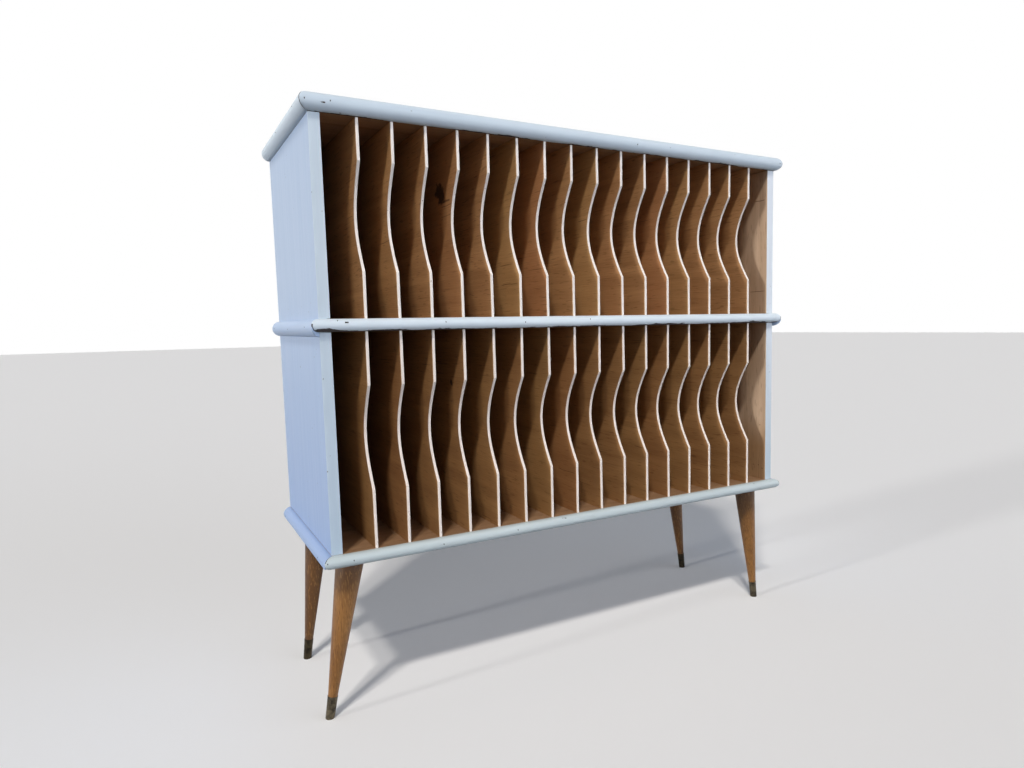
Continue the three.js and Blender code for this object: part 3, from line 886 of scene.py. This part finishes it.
def lipping_paint(name, along, paint, chips_and_shade):
    """The brushed paint, chipped to dark wood and darkened as painted shade, by a share along a
    moulding's lower back edge.
    """
    made, tree = new_finish(name)
    colour, height, rough = paint_pattern(tree, along, paint)
    turn = carried(tree, "round")
    ragged = grain(tree, along, 130.0, 4.0, 3.0, 0.6)
    broad = grain(tree, along, 15.0, 2.0, 1.0)
    ragged = widened(ragged, -0.04, 0.07)
    reach = plus(ragged, widened(broad, -0.07, 0.09))
    # Painted shade: this band along the lower back edge is partly real chips and partly the shade under
    # the nose.
    reach = plus(reach, chips_and_shade)
    chipped_and_shaded = spread(minus(reach, turn), 0.0, 0.012)
    open_mitre = carried(tree, "open_mitre")
    chipped_and_shaded = reckon("MAXIMUM", chipped_and_shaded, spread(open_mitre, 0.45, 0.6))
    nick = spread(grain(tree, along, 200.0, 2.4, 1.0), 0.775, 0.80)
    chipped_and_shaded = reckon("MAXIMUM", chipped_and_shaded, nick)
    fibre = grain(tree, along, 500.0, 40.0, 2.0)
    wood = blend(fibre, (0.075, 0.06, 0.055, 1), (0.02, 0.016, 0.015, 1))
    colour = blend(chipped_and_shaded, colour, wood)
    rough = plus(rough, times(chipped_and_shaded, 0.35))
    height = minus(height, times(chipped_and_shaded, 1.2))
    skin(tree, colour, rough, height, LIPPING_RELIEF, {"Specular IOR Level": 0.4})
    return made


MIDDLE_PAINT = ((0.55, 0.615, 0.665, 1), (0.635, 0.70, 0.735, 1), (1, 1, 1, 1))
BOTTOM_PAINT = ((0.425, 0.485, 0.495, 1), (0.50, 0.56, 0.56, 1), (1, 1, 1, 1))
LIPPING_FINISH = {
    "top": lipping_paint("top_lipping_paint", "X", FRONT_PAINT, 0.06),
    "middle": lipping_paint("middle_lipping_paint", "X", MIDDLE_PAINT, 0.26),
    "bottom": lipping_paint("bottom_lipping_paint", "X", BOTTOM_PAINT, -0.08),
    "top_side": lipping_paint("top_side_lipping_paint", "Y", FRONT_PAINT, -0.1),
    "side": lipping_paint("side_lipping_paint", "Y", SIDE_PAINT, -0.1),
}


def rings_along(length):
    near = [step * MM for step in RINGS_NEAR_AN_END]
    middle = evenly(near[-1], length - near[-1], RING_SPACING, RING_SPACING)
    return near + middle + [length - place for place in reversed(near)]


def trimmed_height(y, z, carcass_front, foot):
    """How high a point lies once a moulding's lower front corner is cut off: level at the foot,
    round at the cut's rear end, and lifting a little ahead of the carcass."""
    past = min(1.0, max(0.0, (y - carcass_front - CORNER_TRIM) / TRIM_RADIUS + 1))
    z = max(z, foot - TRIM_RADIUS * math.sqrt(1 - (1 - past) ** 2))
    ahead = min(1.0, max(0.0, carcass_front + 0.5 * CORNER_TRIM - y) / (1.5 * CORNER_TRIM))
    return max(z, foot + CORNER_LIFT * (1 - math.sqrt(1 - ahead ** 2)))


def make_lipping(node, height, centre, out, start, length, start_lean, end_lean, finish, opened, trim):
    """A moulding laid along a line. A lean of 1 cuts that end to a mitre, which has opened. A
    trim, the front edge of the sides and the height to keep above, cuts off the lower corner."""
    profile = nose_profile(height)
    outward = Vector(out)
    ahead = outward.cross(Vector((0, 0, 1)))
    origin = Vector((start[0], start[1], centre))
    shape = bmesh.new()
    around = shape.verts.layers.float.new("round")
    open_mitre = shape.verts.layers.float.new("open_mitre")
    rings = []
    for place in rings_along(length):
        from_end = length - place
        worn = max(0.0, 1 - min(place, from_end) / CORNER_WEAR_REACH) ** 2 * CORNER_WEAR
        pull = 1 - worn / (height / 2)
        start_share = start_lean * max(0.0, 1 - place / (length / 2))
        end_share = end_lean * max(0.0, 1 - from_end / (length / 2))
        to_mitre = min(place / max(start_lean, 0.01), from_end / max(end_lean, 0.01))
        gape = max(0.0, 1 - to_mitre / (opened[2] * MM))
        ring = []
        for step, (reach, rise) in enumerate(profile):
            wobble = HAND_WORK * math.sin(place * 37 + rise * 90 + length)
            shift = Vector((0, 0, rise * pull))
            shift += outward * max(0.0, reach * pull + (wobble - HAND_WORK) * (reach / PROJECTION))
            shift += ahead * (place - start_share * reach + end_share * reach)
            vert = shape.verts.new(origin + shift)
            if trim:
                vert.co.z = trimmed_height(vert.co.y, vert.co.z, *trim)
            height_share = step / (len(profile) - 1)
            vert[around] = height_share
            vert[open_mitre] = gape * (opened[0] < height_share < opened[1])
            ring.append(vert)
        rings.append(ring)
    count = len(profile)
    for low, high in zip(rings, rings[1:]):
        for side in range(count):
            after = (side + 1) % count
            shape.faces.new((low[side], low[after], high[after], high[side]))
    shape.faces.new(rings[0])
    shape.faces.new(list(reversed(rings[-1])))
    bmesh.ops.recalc_face_normals(shape, faces=shape.faces)
    piece = finish_piece(shape, node + "_moulding", [finish], 20.0)
    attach(piece, "root")
    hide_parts(node)


def lip_tier(tier):
    low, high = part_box(tier + "_front_lipping")
    side_low, side_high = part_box(tier + "_left_lipping")
    front_centre = (low[2] + high[2]) / 2
    side_centre = (side_low[2] + side_high[2]) / 2
    back = side_high[1]
    carcass_front = low[1] + PROJECTION
    half = high[0] - PROJECTION
    side_length = back - carcass_front - MITRE_SETBACK
    side_finish = LIPPING_FINISH["top_side" if tier == "top" else "side"]
    trim = (carcass_front, low[2]) if tier == "bottom" else None
    make_lipping(
        tier + "_front_lipping", high[2] - low[2], front_centre, (0, -1, 0),
        (half, carcass_front), 2 * half, 1, 1, LIPPING_FINISH[tier], OPEN_MITRES[tier], None,
    )
    make_lipping(
        tier + "_right_lipping", side_high[2] - side_low[2], side_centre, (1, 0, 0),
        (half, back), side_length, 0, 1, side_finish, CLOSED, trim,
    )
    make_lipping(
        tier + "_left_lipping", side_high[2] - side_low[2], side_centre, (-1, 0, 0),
        (low[0] + PROJECTION, carcass_front + MITRE_SETBACK), side_length,
        1, 0, side_finish, CLOSED, trim,
    )


for tier in ("bottom", "middle", "top"):
    lip_tier(tier)

PIN_LENGTH = 3.0 * MM
PIN_WIDTH = 1.7 * MM
PIN_SINK = 0.6 * MM
PIN_RIM = 0.02 * MM
PIN_STAND = 0.10 * MM

# How far along its moulding each pin or dent is, in millimetres, and how many degrees up the nose
PINS = {
    "top": ((-531, 2), (-491, 6), (120, -4), (531, 1)),
    "middle": (
        (-497, 46), (-485, 24), (-483.5, 25), (-482, 24), (-480.5, 25),
        (-308, 15), (-148, 1), (-1, 22),
    ),
    "bottom": ((-535, 12), (-491, 4), (-328, 4), (-176, 11)),
}
SIDE_PINS = ((-150, 8), (20, -4), (185, 5))
RUST = (0.05, 0.042, 0.038, 1)
DARK_RUST = (0.025, 0.02, 0.018, 1)
dark_steel = worn_metal("rusted_pin_steel", RUST, DARK_RUST, 0.6, 400.0)
pin_head = turned_head("pin_head", [
    (0, -PIN_SINK),
    (0.5, -PIN_SINK),
    (0.5, PIN_RIM),
    (0.42, PIN_STAND * 0.9),
    (0, PIN_STAND),
], 12)
for vert in pin_head.data.vertices:
    vert.co.x *= PIN_WIDTH
    vert.co.y *= PIN_LENGTH


def on_nose(node, along, angle):
    """A point on a moulding's round nose, and the way it faces there."""
    low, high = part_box(node)
    radius = min((high[2] - low[2]) / 2, PROJECTION)
    turn = math.radians(angle)
    reach = radius * math.cos(turn)
    rise = (low[2] + high[2]) / 2 + radius * math.sin(turn)
    if "front" in node:
        return (along, low[1] + radius - reach, rise), (0, -math.cos(turn), math.sin(turn))
    if "left" in node:
        return (low[0] + radius - reach, along, rise), (-math.cos(turn), 0, math.sin(turn))
    return (high[0] - radius + reach, along, rise), (math.cos(turn), 0, math.sin(turn))


pin_places = []
for tier, pins in PINS.items():
    for along, angle in pins:
        place, way = on_nose(tier + "_front_lipping", along * MM, angle)
        pin_places.append((place, way, 0.0))
    for along, angle in SIDE_PINS:
        for hand in ("left", "right"):
            place, way = on_nose(f"{tier}_{hand}_lipping", along * MM, angle)
            pin_places.append((place, way, 0.0))
set_heads("lipping_pins", pin_places, pin_head, dark_steel)
bpy.data.objects.remove(pin_head)

# -------------------- mounting plates
# A pressed steel plate with a sloped boss is screwed under each corner of the bottom board
# with four slotted round-headed screws, and takes the leg's bolt.

SCREW_RADIUS = 4.1 * MM
SCREW_STAND = 2.2 * MM
SCREW_SINK = 2.5 * MM
SCREW_SLOT_HALF_WIDTH = 0.55 * MM
SCREW_SLOT_DEPTH = 0.55 * SCREW_STAND
PLATE_EASE = 0.5 * MM
PLATE_SIZE = 64 * MM
PLATE_THICKNESS = 3 * MM
PLATE_SCREW_INSET = 9 * MM

screw_head = turned_head("screw_head", [
    (0, -SCREW_SINK),
    (1.9 * MM, -SCREW_SINK),
    (2.0 * MM, 0.02 * MM),
    (SCREW_RADIUS, 0.05 * MM),
    (SCREW_RADIUS * 0.97, SCREW_STAND * 0.4),
    (SCREW_RADIUS * 0.75, SCREW_STAND * 0.78),
    (SCREW_RADIUS * 0.4, SCREW_STAND * 0.97),
    (0, SCREW_STAND),
], 20, SCREW_SLOT_HALF_WIDTH, SCREW_SLOT_DEPTH)

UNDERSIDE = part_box("bottom_board")[0][2]
LEG_X = 0.483
FRONT_LEG_Y = -0.149
BACK_LEG_Y = 0.138

# Each leg's hand, place front to back, splay and turn, both in degrees
STATIONS = {
    "front_left": (-1, FRONT_LEG_Y, 9.5, 16),
    "front_right": (1, FRONT_LEG_Y, 9.5, 16),
    "back_left": (-1, BACK_LEG_Y, 7, 3),
    "back_right": (1, BACK_LEG_Y, 7, 3),
}


def heading_of(hand, turn):
    return math.radians(turn) if hand > 0 else math.pi - math.radians(turn)


screw_places = []
for corner, (hand, y, _, turn) in STATIONS.items():
    node = corner + "_leg_plate"
    shape = merged_copy(node)
    ease(shape, PLATE_EASE, 2, 50.0)
    plate = finish_piece(shape, node + "_eased", [steel], 20.0)
    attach(plate, "root")
    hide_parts(node)
    square = Matrix.Rotation(heading_of(hand, turn), 4, "Z")
    hole = PLATE_SIZE / 2 - PLATE_SCREW_INSET
    for side, row in ((1, 1), (-1, 1), (-1, -1), (1, -1)):
        spot = square @ Vector((side * hole, row * hole, 0))
        place = (hand * LEG_X + spot.x, y + spot.y, UNDERSIDE - PLATE_THICKNESS)
        screw_places.append((place, (0, 0, -1), side * 0.9 + row * 0.4 + hand))
set_heads("plate_screws", screw_places, screw_head, steel)
bpy.data.objects.remove(screw_head)

# -------------------- legs
# Each leg is turned from one length of beech, tapered straight to the ankle and varnished a
# warm brown. The back pair are darker as painted shade, and each leg darkens towards its top,
# partly dirt and partly painted shade under the board. Short dark rays show all over it, and
# its tip is turned down for the ferrule.

LEG_SIDES = 72
LEG_TOP_RADIUS = 24.5 * MM
ANKLE_RADIUS = 8.6 * MM
TIP_TOP_RADIUS = 8.1 * MM
TIP_FOOT_RADIUS = 7.0 * MM
BOLT_RADIUS = 4 * MM
BOLT_REACH = 7 * MM
FERRULE_LENGTH = 43 * MM
FERRULE_FLOOR = 4 * MM
FERRULE_FIT = 0.3 * MM
LEG_DROP = 9 * MM
TAPER_STEPS = 10

BEECH_DARK = (0.142, 0.056, 0.013, 1)
BEECH_LIGHT = (0.30, 0.140, 0.038, 1)
BEECH_DIRT_AND_SHADE_AT_TOP = (0.055, 0.022, 0.008, 1)
BEECH_BACK_SHADE = (0.45, 0.42, 0.38, 1)
DARK_RAY = (0.10, 0.042, 0.015, 1)
PALE_RAY = (0.40, 0.205, 0.065, 1)
TOP_DARKENS_FROM = 0.21
TOP_DARKENS_BY = 0.285
BEECH_RELIEF = 0.18 * MM


def varnished_beech(name):
    made, tree = new_finish(name)
    figure = grain(tree, "Z", 60.0, 16.0, 3.0, 0.6, 0.6)
    fibre = grain(tree, "Z", 700.0, 40.0, 2.0, 0.6)
    slanted = put(tree, "ShaderNodeMapping", {
        "Vector": place_on(tree),
        "Rotation": (math.radians(14), math.radians(-12), 0),
        "Scale": (520.0, 520.0, 75.0),
    }).outputs[0]
    ray_mark = speckle(slanted, 1.0, 1.0)
    cloud = grain(tree, "Z", 18.0, 3.0, 3.0)
    tone = layered(((figure, 0.5), (fibre, 0.2), (cloud, 0.35)))
    colour = blend(tone, BEECH_DARK, BEECH_LIGHT)
    axes = axes_on(tree)
    # Darker towards the top: partly dirt, partly painted shade under the board.
    dirt_and_shade_near_top = spread(axes[2], TOP_DARKENS_FROM, TOP_DARKENS_BY, 0.0, 0.82)
    colour = blend(dirt_and_shade_near_top, colour, BEECH_DIRT_AND_SHADE_AT_TOP)
    # Painted shade: the back pair of legs is darker.
    back_shade_share = spread(axes[1], BACK_SHADE_FROM, BACK_SHADE_BY)
    colour = blend(back_shade_share, colour, BEECH_BACK_SHADE, "MULTIPLY")
    colour = blend(spread(ray_mark, 0.58, 0.66, 0.0, 0.55), colour, DARK_RAY)
    colour = blend(spread(ray_mark, 0.42, 0.34, 0.0, 0.3), colour, PALE_RAY)
    rough = widened(cloud, 0.34, 0.5)
    height = plus(fibre, times(ray_mark, 0.4))
    varnish = {"Coat Weight": 0.08, "Coat Roughness": 0.22, "Specular IOR Level": 0.35}
    skin(tree, colour, rough, height, BEECH_RELIEF, varnish)
    return made


beech = varnished_beech("varnished_beech")


def lean_of(corner):
    """Where a leg's top stands and how it leans. Its own Z runs up its axis."""
    hand, y, splay, turn = STATIONS[corner]
    tilt = math.radians(splay)
    turned_to = Matrix.Rotation(heading_of(hand, turn), 4, "Z") @ Matrix.Rotation(-tilt, 4, "Y")
    lean = Matrix.Translation((hand * LEG_X, y, UNDERSIDE)) @ turned_to
    lean = lean @ Matrix.Translation((0, 0, -LEG_DROP / math.cos(tilt)))
    return lean, (UNDERSIDE - LEG_DROP) / math.cos(tilt)


def turned_piece(profile, lean, name, finish, smooth_below):
    """A turned shape, leaned into its place and cut level with the floor."""
    shape = turned(profile, LEG_SIDES)
    for vert in shape.verts:
        vert.co = lean @ vert.co
        vert.co.z = max(vert.co.z, 0.0)
    bmesh.ops.recalc_face_normals(shape, faces=shape.faces)
    return finish_piece(shape, name, [finish], smooth_below)


def leg_profile(length):
    """Tip, taper, rounded top edge and bolt, up the leg's axis from below its top face."""
    shoulder = FERRULE_LENGTH - length
    tip_end = FERRULE_FLOOR + FERRULE_FIT - length
    ankle = shoulder + FERRULE_FIT
    top_edge = -2.2 * MM
    shares = [step / TAPER_STEPS for step in range(TAPER_STEPS + 1)]
    widening = LEG_TOP_RADIUS - ANKLE_RADIUS
    return [
        (0, tip_end),
        (TIP_FOOT_RADIUS, tip_end),
        (TIP_TOP_RADIUS, shoulder),
        *((ANKLE_RADIUS + widening * share, ankle + share * (top_edge - ankle)) for share in shares),
        (LEG_TOP_RADIUS - 0.35 * MM, -1.0 * MM),
        (LEG_TOP_RADIUS - 1.0 * MM, -0.3 * MM),
        (LEG_TOP_RADIUS - 2.0 * MM, 0),
        (BOLT_RADIUS, 0),
        (BOLT_RADIUS, BOLT_REACH - 0.6 * MM),
        (BOLT_RADIUS - 0.6 * MM, BOLT_REACH),
        (0, BOLT_REACH),
    ]


for corner in STATIONS:
    lean, length = lean_of(corner)
    leg = turned_piece(leg_profile(length), lean, corner + "_leg_turned", beech, 30.0)
    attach(leg, "root")
    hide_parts(corner + "_leg")

# -------------------- ferrules
# Drawn brass cups are pushed over the legs' tips. They have gone nearly black, are bright
# only where they are rubbed, and their soles are filed level with the floor.

RUBBED_BRASS = (0.165, 0.138, 0.09, 1)
TARNISHED_BRASS = (0.042, 0.035, 0.026, 1)
# Painted shade: the back pair of cups is darker.
BRASS_BACK_SHADE = (0.42, 0.39, 0.35, 1)
SOLE_TRIM = 1.2 * MM

# The cup's wall, in millimetres: its radius, and how high it is over the sole or the mouth
WALL_FROM_SOLE = ((0, 0), (5.4, 0), (6.6, 0), (7.4, 0.25), (7.95, 0.75), (8.2, 1.6), (8.45, 12))
WALL_TO_MOUTH = (
    (8.85, -13), (9.12, -3.2), (9.28, -2.4), (9.3, -0.5), (9.15, -0.05), (8.8, 0), (8.4, -0.3),
)
CUP_FLOOR_RADIUS = 7.3 * MM
brass = worn_metal("aged_brass", RUBBED_BRASS, TARNISHED_BRASS, 0.34, 60.0, BRASS_BACK_SHADE)


def ferrule_profile(length):
    """Sole, rolled edge, wall, beaded mouth and inside of a cup, on the leg's own axis."""
    mouth = FERRULE_LENGTH - length
    sole = -SOLE_TRIM - length
    return [
        *((radius * MM, sole + rise * MM) for radius, rise in WALL_FROM_SOLE),
        *((radius * MM, mouth + rise * MM) for radius, rise in WALL_TO_MOUTH),
        (CUP_FLOOR_RADIUS, FERRULE_FLOOR - length),
        (0, FERRULE_FLOOR - length),
    ]


for corner in STATIONS:
    lean, length = lean_of(corner)
    cup = turned_piece(ferrule_profile(length), lean, corner + "_ferrule_cup", brass, 35.0)
    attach(cup, "root")
    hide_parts(corner + "_ferrule")
